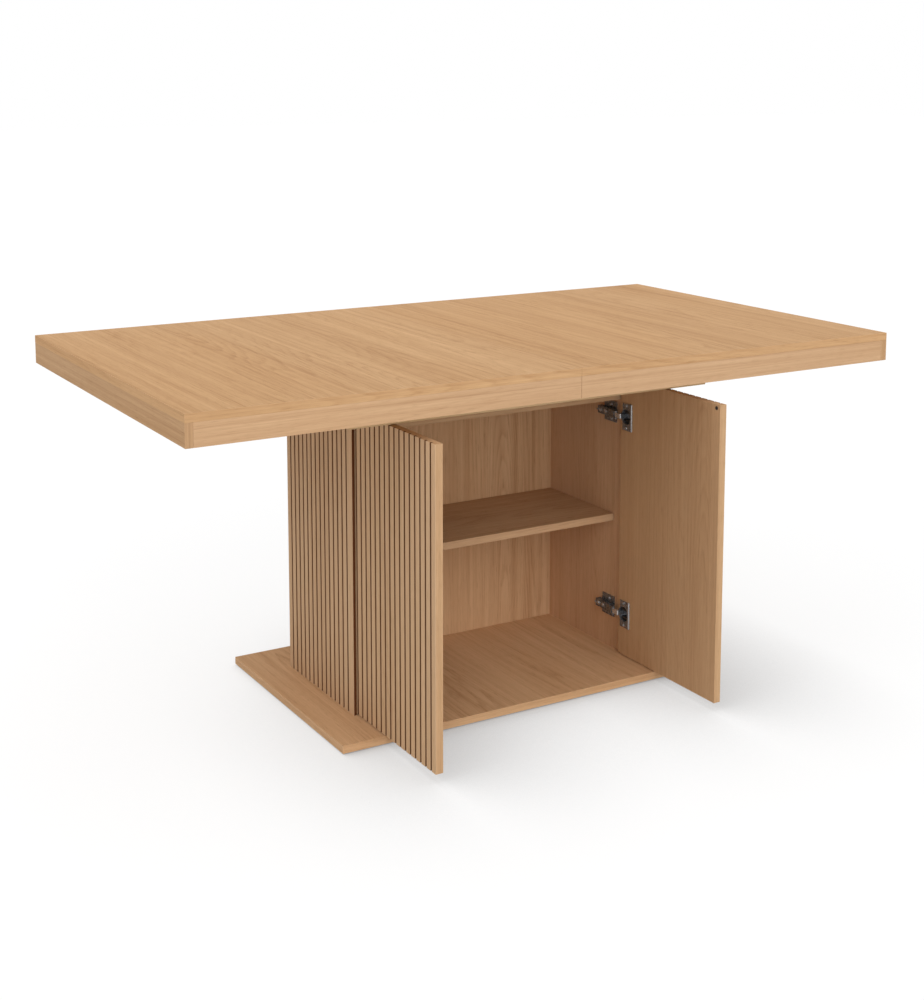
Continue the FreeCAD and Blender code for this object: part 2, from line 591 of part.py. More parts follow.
def build_top():
    """The two halves of the top, with aprons, corner blocks and what slides in the channels."""
    board = box("top_board", "seam_gap / 2", "-half_width", "top_bottom",
                "half_length - seam_gap / 2", "table_width", "top_thick")
    peg_rows = ("-peg_far", "-peg_near", "peg_near", "peg_far")
    holes = [rod(f"peg_hole_{number}", "seam_gap / 2 - overrun", y, "table_height - top_thick / 2",
                 "peg_radius + peg_fit", "peg_depth + overrun", ALONG_X)
             for number, y in enumerate(peg_rows)]
    keep_pair("top_panel", cut("top_panel_right", board, holes))
    pegs = [rod(f"peg_{number}", "peg_end_gap - peg_depth - seam_gap / 2", y, "table_height - top_thick / 2",
                "peg_radius", "2 * (peg_depth - peg_end_gap) + seam_gap", ALONG_X)
            for number, y in enumerate(peg_rows)]
    keep(group("seam_pegs", pegs))
    apron = box("front_apron_right", "seam_gap / 2", "-half_width", "apron_bottom",
                "half_length - apron_thick - seam_gap / 2", "apron_thick", "apron_height")
    keep_pair("front_apron", apron)
    keep_pair("rear_apron", mirrored("rear_apron_right", apron, Vector(0, 1, 0)))
    keep_pair("end_apron", box("end_apron_right", "half_length - apron_thick", "-half_width", "apron_bottom",
                               "apron_thick", "table_width", "apron_height"))
    block = box("corner_block", "half_length - apron_thick - block_size", "half_width - apron_thick - block_size",
                "top_bottom - block_height", "block_size", "block_size", "block_height")
    keep_pair("corner_blocks", group("corner_blocks_right",
                                     [block, mirrored("corner_block_front", block, Vector(0, 1, 0))]))
    batten = box("batten", "bar_inset", "batten_inner", "batten_bottom",
                 "bar_length", "batten_thick", "top_bottom - batten_bottom")
    keep_pair("slide_battens", group("slide_battens_right",
                                     [batten, mirrored("batten_front", batten, Vector(0, 1, 0))]))
    flat = box("bar_flat", "bar_inset", "beam_outer + channel_wall + bar_clear",
               "channel_bottom + channel_wall + bar_clear", "bar_length",
               "channel_depth - 2 * channel_wall - 2 * bar_clear",
               "channel_height - 2 * channel_wall - 2 * bar_clear")
    neck = box("bar_neck", "bar_inset", "beam_outer + channel_wall + bar_clear",
               "channel_bottom + channel_lip + bar_clear", "bar_length",
               "channel_depth - channel_wall - bar_clear + neck_reach",
               "channel_height - 2 * channel_lip - 2 * bar_clear")
    bar = joined("bar", [flat, neck])
    keep_pair("slide_bars", group("slide_bars_right", [bar, mirrored("bar_front", bar, Vector(0, 1, 0))]))


def write_pieces():
    """Tests every object, then writes each piece to its own file."""
    doc.recompute()
    for thing in doc.Objects:
        if "Invalid" in thing.State or "Error" in thing.State:
            raise RuntimeError(f"{thing.Name} failed: {thing.State}")
    for thing in pieces:
        if thing.Shape.isNull() or not thing.Shape.isValid() or not thing.Shape.Solids:
            raise RuntimeError(f"{thing.Label} has no sound shape")
    os.makedirs("parts", exist_ok=True)
    for thing in pieces:
        thing.Shape.exportStep(os.path.join("parts", thing.Label + ".step"))
    print(f"{len(pieces)} pieces written")


build_base()
build_carcass()
build_shelf()
build_carrier()
build_leaf()
build_doors()
build_hinges()
build_catches()
build_top()
write_pieces()
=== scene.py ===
"""Kitchen table with a storage cabinet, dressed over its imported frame.

The solids of the frame keep their places, and four nodes of plain screws give way to screws with a cross
recess. The classes below break the edges of the boards, give each surface its finish, add the small
fittings that the solids leave plain, and set up the studio.
"""
import logging
import math
from dataclasses import dataclass, replace
from enum import Enum
from typing import Any, Iterable, Iterator, Mapping, Optional, Sequence, Tuple, Union

import bmesh
import bpy
from mathutils import Matrix, Vector


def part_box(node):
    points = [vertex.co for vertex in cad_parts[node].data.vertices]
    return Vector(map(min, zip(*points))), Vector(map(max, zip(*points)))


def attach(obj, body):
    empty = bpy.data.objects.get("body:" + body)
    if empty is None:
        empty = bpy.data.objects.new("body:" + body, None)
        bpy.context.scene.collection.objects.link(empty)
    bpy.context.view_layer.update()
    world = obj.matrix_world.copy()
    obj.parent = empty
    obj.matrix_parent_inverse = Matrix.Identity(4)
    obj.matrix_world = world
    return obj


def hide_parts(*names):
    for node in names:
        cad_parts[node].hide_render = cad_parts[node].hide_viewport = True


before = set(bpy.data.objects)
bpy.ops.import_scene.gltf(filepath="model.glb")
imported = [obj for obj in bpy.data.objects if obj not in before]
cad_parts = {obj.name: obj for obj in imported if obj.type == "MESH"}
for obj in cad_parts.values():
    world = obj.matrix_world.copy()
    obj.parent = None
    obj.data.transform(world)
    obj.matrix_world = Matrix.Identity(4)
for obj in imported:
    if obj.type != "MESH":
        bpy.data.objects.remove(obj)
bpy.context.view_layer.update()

LOG = logging.getLogger("table")

Colour = Tuple[float, float, float, float]
Triple = Tuple[float, float, float]
Pair = Tuple[float, float]
Box = Tuple[Vector, Vector]
Row = list[bmesh.types.BMVert]
Socket = bpy.types.NodeSocket
Number = Union["Value", float]
Feed = Union["Value", Socket, float, Sequence[float]]

PLAIN: Triple = (1.0, 1.0, 1.0)
DOWN: Triple = (0.0, 0.0, -1.0)
TO_REAR: Triple = (0.0, 1.0, 0.0)


class Axis(Enum):
    """A direction of the shared frame."""

    X = 0
    Y = 1
    Z = 2


class Side(Enum):
    """Left and right half of the table, with the sign of their X places."""

    LEFT = -1
    RIGHT = 1

    @property
    def word(self) -> str:
        """The side's name as the nodes and bodies spell it."""
        return self.name.lower()

    @property
    def inwards(self) -> Triple:
        """Direction from this side to the middle of the table."""
        return -float(self.value), 0.0, 0.0


class Slot(Enum):
    """Material slots of the record, named for the added fittings."""

    NICKEL = "nickel"
    PLASTIC = "black_plastic"


def tint(code: str) -> Colour:
    """Turn a written colour into the linear colour that a shader takes.

    Args:
        code: Six hexadecimal digits, red first.

    Returns:
        Linear red, green and blue, and an alpha of one.
    """
    toe, slope, offset, power = 0.04045, 12.92, 0.055, 2.4
    parts = [int(code[i:i + 2], 16) / 255 for i in (0, 2, 4)]
    red, green, blue = (c / slope if c <= toe else ((c + offset) / (1 + offset)) ** power for c in parts)
    return red, green, blue, 1.0


def grey(level: float) -> Colour:
    """Neutral colour of one level."""
    return level, level, level, 1.0


def outwards(node: str) -> Box:
    """Measure a node on one side of the table.

    Args:
        node: The CAD node.

    Returns:
        Its corners, lowest first, with X counted from the middle of the table outwards.
    """
    low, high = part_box(node)
    near, far = sorted((abs(low.x), abs(high.x)))
    return Vector((near, low.y, low.z)), Vector((far, high.y, high.z))


class Value:
    """A number that varies over a surface, written with Python's operators."""

    def __init__(self, graph: "Graph", socket: Socket) -> None:
        """Keep the socket and the graph that takes its Math nodes."""
        self.graph = graph
        self.socket = socket

    def _math(self, operation: str, *terms: Number) -> "Value":
        """Add one Math node.

        Args:
            operation: The node's operation.
            terms: The operation's terms, in order.

        Returns:
            The node's result.
        """
        node = self.graph.node("ShaderNodeMath", {"operation": operation}, dict(enumerate(terms)))
        return Value(self.graph, node.outputs[0])

    def __add__(self, other: Number) -> "Value":
        """Sum."""
        return self._math("ADD", self, other)

    __radd__ = __add__

    def __sub__(self, other: Number) -> "Value":
        """Difference."""
        return self._math("SUBTRACT", self, other)

    def __rsub__(self, other: Number) -> "Value":
        """Difference from a number."""
        return self._math("SUBTRACT", other, self)

    def __mul__(self, other: Number) -> "Value":
        """Product."""
        return self._math("MULTIPLY", self, other)

    __rmul__ = __mul__

    def __truediv__(self, other: Number) -> "Value":
        """Quotient."""
        return self._math("DIVIDE", self, other)

    def __pow__(self, other: Number) -> "Value":
        """Power."""
        return self._math("POWER", self, other)

    def __abs__(self) -> "Value":
        """Size without its sign."""
        return self._math("ABSOLUTE", self)

    def fract(self) -> "Value":
        """Part after the decimal point."""
        return self._math("FRACT", self)

    def centred(self) -> "Value":
        """Difference from a half, which is the mean of a noise."""
        return self - 0.5

    def least(self, other: Number) -> "Value":
        """Smaller of two."""
        return self._math("MINIMUM", self, other)

    def most(self, other: Number) -> "Value":
        """Larger of two."""
        return self._math("MAXIMUM", self, other)

    def above(self, other: Number) -> "Value":
        """One where this is larger, otherwise nought."""
        return self._math("GREATER_THAN", self, other)

    def eased(self, start: float, end: float) -> "Value":
        """Go softly from nought to one.

        Args:
            start: Where the result is nought.
            end: Where the result is one; it may lie below start.

        Returns:
            The eased value.
        """
        flip = end < start
        low, high = (end, start) if flip else (start, end)
        node = self.graph.node("ShaderNodeMapRange", {"interpolation_type": "SMOOTHSTEP"},
                               {"Value": self, "From Min": low, "From Max": high})
        eased = Value(self.graph, node.outputs[0])
        return 1 - eased if flip else eased


@dataclass(frozen=True)
class Waves:
    """Soft noise: its waves per metre along three axes, and the octaves and weight of its finer noise."""

    per_metre: Triple
    detail: float = 1.0
    roughness: float = 0.5


class Graph:
    """The node tree of one material or of the world."""

    def __init__(self, tree: bpy.types.NodeTree) -> None:
        """Start from an empty tree."""
        self.tree = tree
        tree.nodes.clear()

    def node(self, kind: str, settings: Optional[Mapping[str, Any]] = None,
             sockets: Optional[Mapping[Union[str, int], Feed]] = None) -> bpy.types.Node:
        """Add a node.

        Args:
            kind: The node's type.
            settings: Its settings, set first; "stops" are a ramp's places and colours.
            sockets: Values or links for its inputs, by name or number.

        Returns:
            The node.
        """
        node = self.tree.nodes.new(kind)
        for name, setting in (settings or {}).items():
            if name == "stops":
                marks = node.color_ramp.elements
                while len(marks) < len(setting):
                    marks.new(1.0)
                for mark, (place, colour) in zip(marks, setting):
                    mark.position, mark.color = place, colour
            else:
                setattr(node, name, setting)
        for key, fed in (sockets or {}).items():
            self.feed(node.inputs[key], fed)
        return node

    def feed(self, socket: Socket, fed: Feed) -> None:
        """Link or set one input.

        Args:
            socket: The input.
            fed: A value or socket to link, or a plain number or colour to set.
        """
        if isinstance(fed, (Value, Socket)):
            self.tree.links.new(fed.socket if isinstance(fed, Value) else fed, socket)
        else:
            socket.default_value = fed

    def blend(self, factor: Number, first: Feed, second: Feed, mode: str = "MIX") -> Socket:
        """Mix two colours.

        Args:
            factor: Share of the second colour.
            first: Colour at nought.
            second: Colour at one.
            mode: How the two are mixed.

        Returns:
            The mixed colour.
        """
        node = self.node("ShaderNodeMix", {"data_type": "RGBA", "blend_type": mode},
                         {0: factor, 6: first, 7: second})
        return node.outputs[2]

    def vector(self, operation: str, first: Feed, second: Feed) -> Socket:
        """Work on two vectors.

        Args:
            operation: The Vector Math node's operation.
            first: First vector.
            second: Second vector.

        Returns:
            The resulting vector.
        """
        return self.node("ShaderNodeVectorMath", {"operation": operation}, {0: first, 1: second}).outputs[0]

    def parts(self, vector: Feed) -> Tuple[Value, Value, Value]:
        """Split a vector into its three numbers."""
        split = self.node("ShaderNodeSeparateXYZ", sockets={0: vector})
        return Value(self, split.outputs[0]), Value(self, split.outputs[1]), Value(self, split.outputs[2])

    def gather(self, x: Number, y: Number, z: Number) -> Socket:
        """Put three numbers together as a vector."""
        return self.node("ShaderNodeCombineXYZ", sockets={0: x, 1: y, 2: z}).outputs[0]

    def place(self) -> Socket:
        """Place on the piece, in metres of the shared frame at rest."""
        return self.node("ShaderNodeTexCoord").outputs["Object"]

    def facing(self) -> Socket:
        """Direction that the surface faces, in the shared frame at rest."""
        return self.node("ShaderNodeTexCoord").outputs["Normal"]

    def noise(self, vector: Feed, waves: Waves) -> Value:
        """Soft noise on a place.

        Args:
            vector: The place.
            waves: Scale of the noise.

        Returns:
            Noise from nought to one, about a half on average.
        """
        node = self.node("ShaderNodeTexNoise", {"noise_dimensions": "3D"},
                         {"Vector": self.vector("MULTIPLY", vector, waves.per_metre), "Scale": 1.0,
                          "Detail": waves.detail, "Roughness": waves.roughness})
        return Value(self, node.outputs[0])

    def bump(self, height: Value, strength: float, depth: float) -> Socket:
        """Turn a height into a normal.

        Args:
            height: The height, nought to one.
            strength: Share of the effect.
            depth: Depth of a height of one, in metres.

        Returns:
            The bumped normal.
        """
        node = self.node("ShaderNodeBump", None, {"Strength": strength, "Distance": depth, "Height": height})
        return node.outputs[0]

    def surface(self, sockets: Mapping[str, Feed]) -> None:
        """End the tree in one Principled shader with the given inputs."""
        shader = self.node("ShaderNodeBsdfPrincipled", sockets=sockets)
        self.node("ShaderNodeOutputMaterial", sockets={"Surface": shader.outputs[0]})


@dataclass(frozen=True)
class Finish:
    """What a surface is made of. Each kind paints its own node tree."""

    def paint(self, graph: Graph, box: Box) -> None:
        """Paint the finish.

        Args:
            graph: The material's tree.
            box: Lowest and highest corner of the piece.
        """
        raise NotImplementedError

    def material(self, name: str, box: Box) -> bpy.types.Material:
        """Make the finish for one piece.

        Args:
            name: Name of the material.
            box: Lowest and highest corner of the piece.

        Returns:
            The painted material.
        """
        material = bpy.data.materials.new(name)
        material.use_nodes = True
        self.paint(Graph(material.node_tree), box)
        return material


@dataclass(frozen=True)
class Flutes:
    """Row of upright grooves in the outer face of a board, in metres, with painted shade in them; lip is the
    rebate's front and wall, darkened as a painted shadow of the gap.
    """

    face: float
    first: float
    pitch: float
    count: int
    width: float = 0.0046
    depth: float = 0.004
    rim: float = 0.0004
    # How far past a groove's rim the painted shade spreads.
    shade_spread: float = 0.001
    lip: Optional[Pair] = None
    # Cast of the outer fluted face alone; on the doors it is painted light that lightens that face.
    cast: Triple = PLAIN
    skin_depth: float = 0.001
    wall_share: float = 0.5
    full_share: float = 0.25
    # Strength of the painted shade in the grooves.
    groove_shade_share: float = 0.95
    roughness: float = 0.3

    def skin(self, graph: Graph) -> Value:
        """Tell the outer fluted face from the rest of the board, for the cast that lightens it as painted
        light on the doors.

        Args:
            graph: The material's tree.

        Returns:
            One on the outer face, nought on the edges and the inner face.
        """
        across = graph.parts(graph.place())[0]
        return (abs(across) - self.face).above(-self.skin_depth)

    def mask(self, graph: Graph) -> Value:
        """Tell how deep in a groove the surface lies, for the painted shade of the grooves and the rebate.

        Args:
            graph: The material's tree.

        Returns:
            One at a groove's floor, nought on the face.
        """
        x, y, _ = graph.parts(graph.place())
        depth = self.face - abs(x)
        turn = (y - self.first) / self.pitch
        aside = abs((turn + 0.5).fract() - 0.5) * abs(self.pitch)
        row = turn.above(-0.5) * (self.count - turn).above(0.5)
        half = self.width / 2
        inside = aside.eased(half + self.shade_spread, half + self.rim / 2)
        sunk = depth.eased(self.rim / 4, self.depth * self.full_share)
        shaded_grooves = (self.wall_share + sunk * (1 - self.wall_share)) * (self.depth + self.rim - depth).above(0.0)
        shaded_grooves = shaded_grooves * inside * row
        if self.lip:
            front, wall = self.lip
            edge = self.rim * 2
            ahead = (front + edge - y).above(0.0)
            shaded_grooves = shaded_grooves.most(ahead * depth.above(edge) * (abs(x) - wall).above(0.0))
        return shaded_grooves


@dataclass(frozen=True)
class OakVeneer(Finish):
    """Oak veneer with long grain; edge faces across the grain carry a strip with its own grain."""

    grain: Axis = Axis.Y
    strip: Axis = Axis.X
    pale: str = "E0BB92"
    middle: str = "CDA67E"
    dark: str = "AE835A"
    pore: str = "8C653D"
    # Dark brown painted into the grooves and the rebate as painted shade.
    groove: str = "54290C"
    worn: str = "DDBB92"
    shift: float = 0.0
    gloss: float = 0.52
    contrast: float = 1.0
    figure: float = 1.0
    fineness: float = 1.5
    # Cast over the whole board: its tone, and painted shade on the end aprons, back, shelf, rails and door
    # panels, painted light on the side panels.
    cast: Triple = PLAIN
    sheen: float = 0.015
    flutes: Optional[Flutes] = None

    # Where in the noise the veneer lies for each unit of shift, how far beside it the strip lies, and how
    # squarely a face has to look along the grain to be an end face.
    shift_step: Triple = (1.0, 0.37, 1.9)
    strip_step: float = 3.1
    end_facing: float = 0.8

    # Growth rings, and the pores that are thickest in them.
    growth: Waves = Waves((6.0, 6.0, 0.42), 1.0, 0.4)
    wobble: Waves = Waves((52.0, 52.0, 3.0), 2.0)
    figuring: Waves = Waves((8.0, 8.0, 1.4))
    figured: Pair = (0.40, 0.64)
    ring_count: float = 52.0
    ring_wander: float = 1.5
    ring_rise: float = 1.8
    ring_end: float = 0.8
    ring_least: float = 0.3
    flecks: Waves = Waves((1300.0, 1300.0, 34.0))
    flecked: Pair = (0.56, 0.70)
    pore_least: float = 0.35
    pore_shade_spread: float = 0.5

    # Tone between pale and dark; the streaks' waves across the grain grow with the fineness.
    fibre: Waves = Waves((360.0, 360.0, 4.0), 3.0, 0.6)
    streak: Waves = Waves((48.0, 48.0, 0.9), 3.0, 0.6)
    slices: Waves = Waves((9.0, 9.0, 0.3), 1.0, 0.4)
    tone_mean: float = 0.45
    tone_drop: float = 0.08
    late_weight: float = 0.38
    fibre_weight: float = 0.7
    streak_weight: float = 1.05
    slice_weight: float = 0.5
    warmth: Waves = Waves((3.4, 3.4, 0.9))
    warmed: Pair = (0.42, 0.68)
    warm_share: float = 0.35
    warm_cast: Triple = (1.0, 0.955, 0.885)

    # Worn edges, roughness and relief.
    worn_reach: Pair = (0.0014, 0.0003)
    worn_least: float = 0.25
    worn_wander: float = 0.5
    worn_share: float = 0.4
    worn_smooth: float = 0.06
    fibre_rough: float = 0.14
    pore_rough: float = 0.18
    fibre_relief: float = 0.25
    pore_relief: float = 0.6
    late_relief: float = 0.15
    relief_share: float = 0.22
    relief_depth: float = 0.0004

    def _along(self, graph: Graph) -> Socket:
        """Lay the place out as two numbers across the grain and one along it.

        Args:
            graph: The material's tree.

        Returns:
            The place, turned so that its third number runs along the grain.
        """
        place = graph.parts(graph.place())
        facing = graph.parts(graph.facing())
        grain, strip = self.grain.value, self.strip.value
        across = [place[i] for i in range(3) if i != grain]
        beside = [place[i] for i in range(3) if i != strip]
        board = graph.gather(across[0], across[1], place[grain])
        banding = graph.gather(beside[0] + self.strip_step, beside[1], place[strip])
        end = abs(facing[grain]).above(self.end_facing)
        node = graph.node("ShaderNodeMix", {"data_type": "VECTOR"}, {0: end, 4: board, 5: banding})
        return graph.vector("ADD", node.outputs[1], [self.shift * step for step in self.shift_step])

    def _edge(self, graph: Graph, box: Box) -> Value:
        """Find the board's edges.

        Args:
            graph: The material's tree.
            box: Lowest and highest corner of the board.

        Returns:
            One on an edge, nought a millimetre or two off.
        """
        place = graph.parts(graph.place())
        a, b, c = (p.least(h + l - p) - l for p, l, h in zip(place, *box))
        second = a.least(b).most(a.most(b).least(c))
        return second.eased(*self.worn_reach)

    def _rings(self, graph: Graph, along: Socket, wobble: Value) -> Value:
        """Draw the late wood of the growth rings.

        Args:
            graph: The material's tree.
            along: The place along the grain.
            wobble: Fine wander of the rings.

        Returns:
            The strength of the dark lines, nought between them.
        """
        growth = graph.noise(along, self.growth)
        rings = (growth * self.ring_count + wobble * self.ring_wander).fract()
        figured = graph.noise(along, self.figuring).eased(*self.figured)
        lines = (rings ** self.ring_rise) * rings.eased(1.0, self.ring_end)
        return lines * (self.ring_least + figured * (1 - self.ring_least)) * self.figure

    def _tone(self, graph: Graph, along: Socket, late: Value, fibre: Value) -> Socket:
        """Colour the wood between pale and dark, with warmer patches.

        Args:
            graph: The material's tree.
            along: The place along the grain.
            late: Late wood of the rings.
            fibre: Fine lines along the grain.

        Returns:
            The wood's colour.
        """
        x, y, z = self.streak.per_metre
        finer = (x * self.fineness, y * self.fineness, z)
        streak = graph.noise(along, replace(self.streak, per_metre=finer))
        slices = graph.noise(along, self.slices)
        lively = late * self.late_weight + fibre.centred() * self.fibre_weight
        lively = lively + streak.centred() * self.streak_weight + slices.centred() * self.slice_weight
        tone = self.tone_mean + (lively - self.tone_drop) * self.contrast
        stops = [(0.0, tint(self.pale)), (0.5, tint(self.middle)), (1.0, tint(self.dark))]
        wood = graph.node("ShaderNodeValToRGB", {"stops": stops}, {0: tone}).outputs[0]
        warm = graph.noise(along, self.warmth).eased(*self.warmed)
        return graph.blend(warm * self.warm_share, wood, (*self.warm_cast, 1.0), "MULTIPLY")

    def paint(self, graph: Graph, box: Box) -> None:
        """Paint rings, fibres, pores, tone, worn edges, the cast with its painted light and shade, and
        painted shade in the grooves.

        Args:
            graph: The material's tree.
            box: Lowest and highest corner of the board.
        """
        along = self._along(graph)
        wobble = graph.noise(along, self.wobble)
        fibre = graph.noise(along, self.fibre)
        late = self._rings(graph, along, wobble)
        pores = graph.noise(along, self.flecks).eased(*self.flecked) * (self.pore_least + late)
        wood = self._tone(graph, along, late, fibre)
        wood = graph.blend(pores * self.pore_shade_spread, wood, tint(self.pore))
        rubbed = self._edge(graph, box) * (self.worn_least + wobble * self.worn_wander)
        wood = graph.blend(rubbed * self.worn_share, wood, tint(self.worn))
        # Multiply by the cast: the board's tone, and painted light and shade where the pieces set it.
        wood = graph.blend(1.0, wood, (*self.cast, 1.0), "MULTIPLY")
        rough = self.gloss + fibre.centred() * self.fibre_rough
        rough = rough + pores * self.pore_rough - rubbed * self.worn_smooth
        if self.flutes:
            # Painted light: the outer fluted face gets its own cast, lighter on the doors.
            wood = graph.blend(self.flutes.skin(graph), wood, (*self.flutes.cast, 1.0), "MULTIPLY")
            # Painted shade: the grooves and the rebate lip are darkened towards the groove colour.
            shaded_grooves = self.flutes.mask(graph)
            wood = graph.blend(shaded_grooves * self.flutes.groove_shade_share, wood, tint(self.groove))
            rough = rough + shaded_grooves * self.flutes.roughness
        relief = 0.5 + fibre * self.fibre_relief - pores * self.pore_relief - late * self.late_relief
        graph.surface({"Base Color": wood, "Roughness": rough, "Specular IOR Level": self.sheen,
                       "Normal": graph.bump(relief, self.relief_share, self.relief_depth)})


TOP_VENEER = OakVeneer(Axis.Y, Axis.X, contrast=0.9, figure=0.75, fineness=1.7, cast=(0.95, 0.9, 0.83))
SOLID_OAK = OakVeneer(Axis.X, Axis.Y, "DFC79F", "D3B689", "BC9767", "9C7748", gloss=0.6)
CARRIER_WOOD = OakVeneer(Axis.X, Axis.Y, "DCC199", "CFB083", "B59062", "96713F", gloss=0.6)


@dataclass(frozen=True)
class Nickel(Finish):
    """Nickel plate with fine upright brushing and a little haze."""

    bright: str = "B6B9BD"
    dull: str = "7C8084"
    metal: float = 0.72
    gloss: float = 0.22
    brushing: Waves = Waves((900.0, 900.0, 40.0), 2.0)
    brush_dull: float = 0.2
    brush_rough: float = 0.06
    haze: Waves = Waves((120.0, 120.0, 120.0), 2.0)
    hazed: Pair = (0.35, 0.75)
    haze_dull: float = 0.4
    haze_rough: float = 0.1

    def paint(self, graph: Graph, box: Box) -> None:
        """Paint brushed metal.

        Args:
            graph: The material's tree.
            box: Lowest and highest corner of the piece.
        """
        place = graph.place()
        brushed = graph.noise(place, self.brushing)
        haze = graph.noise(place, self.haze).eased(*self.hazed)
        shade = haze * self.haze_dull + brushed * self.brush_dull
        graph.surface({"Base Color": graph.blend(shade, tint(self.bright), tint(self.dull)),
                       "Metallic": self.metal,
                       "Roughness": self.gloss + haze * self.haze_rough + brushed * self.brush_rough})


@dataclass(frozen=True)
class ZincSteel(Finish):
    """Zinc-coated steel sheet with its crystal pattern."""

    bright: str = "B4B6B6"
    dull: str = "84888A"
    metal: float = 0.95
    gloss: float = 0.3
    crystals: Triple = (260.0, 260.0, 260.0)
    crystal_dull: float = 0.35
    crystal_rough: float = 0.12
    rubbing: Waves = Waves((40.0, 900.0, 900.0), 2.0, 0.6)
    rub_dull: float = 0.4
    rub_rough: float = 0.14
    rub_share: float = 0.08
    rub_depth: float = 0.0001

    def paint(self, graph: Graph, box: Box) -> None:
        """Paint zinc crystals and rubbed lines.

        Args:
            graph: The material's tree.
            box: Lowest and highest corner of the piece.
        """
        place = graph.place()
        cells = graph.node("ShaderNodeTexVoronoi", {"feature": "F1"},
                           {"Vector": graph.vector("MULTIPLY", place, self.crystals), "Scale": 1.0})
        crystal = graph.parts(cells.outputs["Color"])[0]
        rubbed = graph.noise(place, self.rubbing)
        shade = crystal * self.crystal_dull + rubbed * self.rub_dull
        graph.surface({"Base Color": graph.blend(shade, tint(self.bright), tint(self.dull)),
                       "Metallic": self.metal,
                       "Roughness": self.gloss + crystal * self.crystal_rough + rubbed * self.rub_rough,
                       "Normal": graph.bump(rubbed, self.rub_share, self.rub_depth)})


@dataclass(frozen=True)
class MouldedPlastic(Finish):
    """Black moulded plastic with a fine spark-eroded grain."""

    base: str = "1E1D1C"
    lift: str = "343230"
    gloss: float = 0.42
    grain: Waves = Waves((2200.0, 2200.0, 2200.0), 2.0, 0.6)
    grain_lift: float = 0.5
    grain_rough: float = 0.16
    grain_share: float = 0.15
    grain_depth: float = 0.0001
    cloud: Waves = Waves((90.0, 90.0, 90.0), 2.0)
    cloud_lift: float = 0.3
    cloud_rough: float = 0.08

    def paint(self, graph: Graph, box: Box) -> None:
        """Paint the moulded grain.

        Args:
            graph: The material's tree.
            box: Lowest and highest corner of the piece.
        """
        place = graph.place()
        grain = graph.noise(place, self.grain)
        cloud = graph.noise(place, self.cloud)
        shade = grain * self.grain_lift + cloud * self.cloud_lift
        graph.surface({"Base Color": graph.blend(shade, tint(self.base), tint(self.lift)),
                       "Roughness": self.gloss + grain * self.grain_rough + cloud * self.cloud_rough,
                       "Normal": graph.bump(grain, self.grain_share, self.grain_depth)})


def aimed(at: Sequence[float], towards: Sequence[float]) -> Matrix:
    """Stand a shape's own Z axis up along a direction.

    Args:
        at: Where the shape's origin goes.
        towards: Direction of its Z axis.

    Returns:
        The placing matrix.
    """
    return Matrix.Translation(at) @ Vector(towards).to_track_quat("Z", "Y").to_matrix().to_4x4()


@dataclass(frozen=True)
class Screw:
    """Pan-head screw with a cross recess: four sizes in metres, then shares of them."""

    radius: float = 0.0036
    height: float = 0.0013
    shank: float = 0.0018
    length: float = 0.011
    crest: float = 0.98
    root: float = 0.8
    rings: int = 8
    ring_step: float = 0.1
    head: Tuple[Pair, ...] = ((0.95, 0.0), (1.0, 0.2), (0.95, 0.6), (0.82, 0.88), (0.66, 1.0))
    slot_half: float = 0.13
    slot_reach: float = 0.52
    slot_taper: float = 0.75
    slot_floor: float = 0.25

    def profile(self) -> list[Pair]:
        """Work out the screw's rings from its tip to the flat of its head.

        Returns:
            Radius and height of each ring, with the seat of the head at nought.
        """
        thread = [(self.shank * (self.crest if i % 2 else self.root),
                   -self.length * self.ring_step * (self.rings - i)) for i in range(self.rings)]
        head = [(self.radius * wide, self.height * tall) for wide, tall in self.head]
        return [(0.0, -self.length), *thread, (self.shank, 0.0), *head]

    def cross(self) -> list[Pair]:
        """Corners of the recess at the flat of the head, counter-clockwise."""
        n, f = self.radius * self.slot_half, self.radius * self.slot_reach
        return [(n, f), (-n, f), (-n, n), (-f, n), (-f, -n), (-n, -n),
                (-n, -f), (n, -f), (n, -n), (f, -n), (f, n), (n, n)]


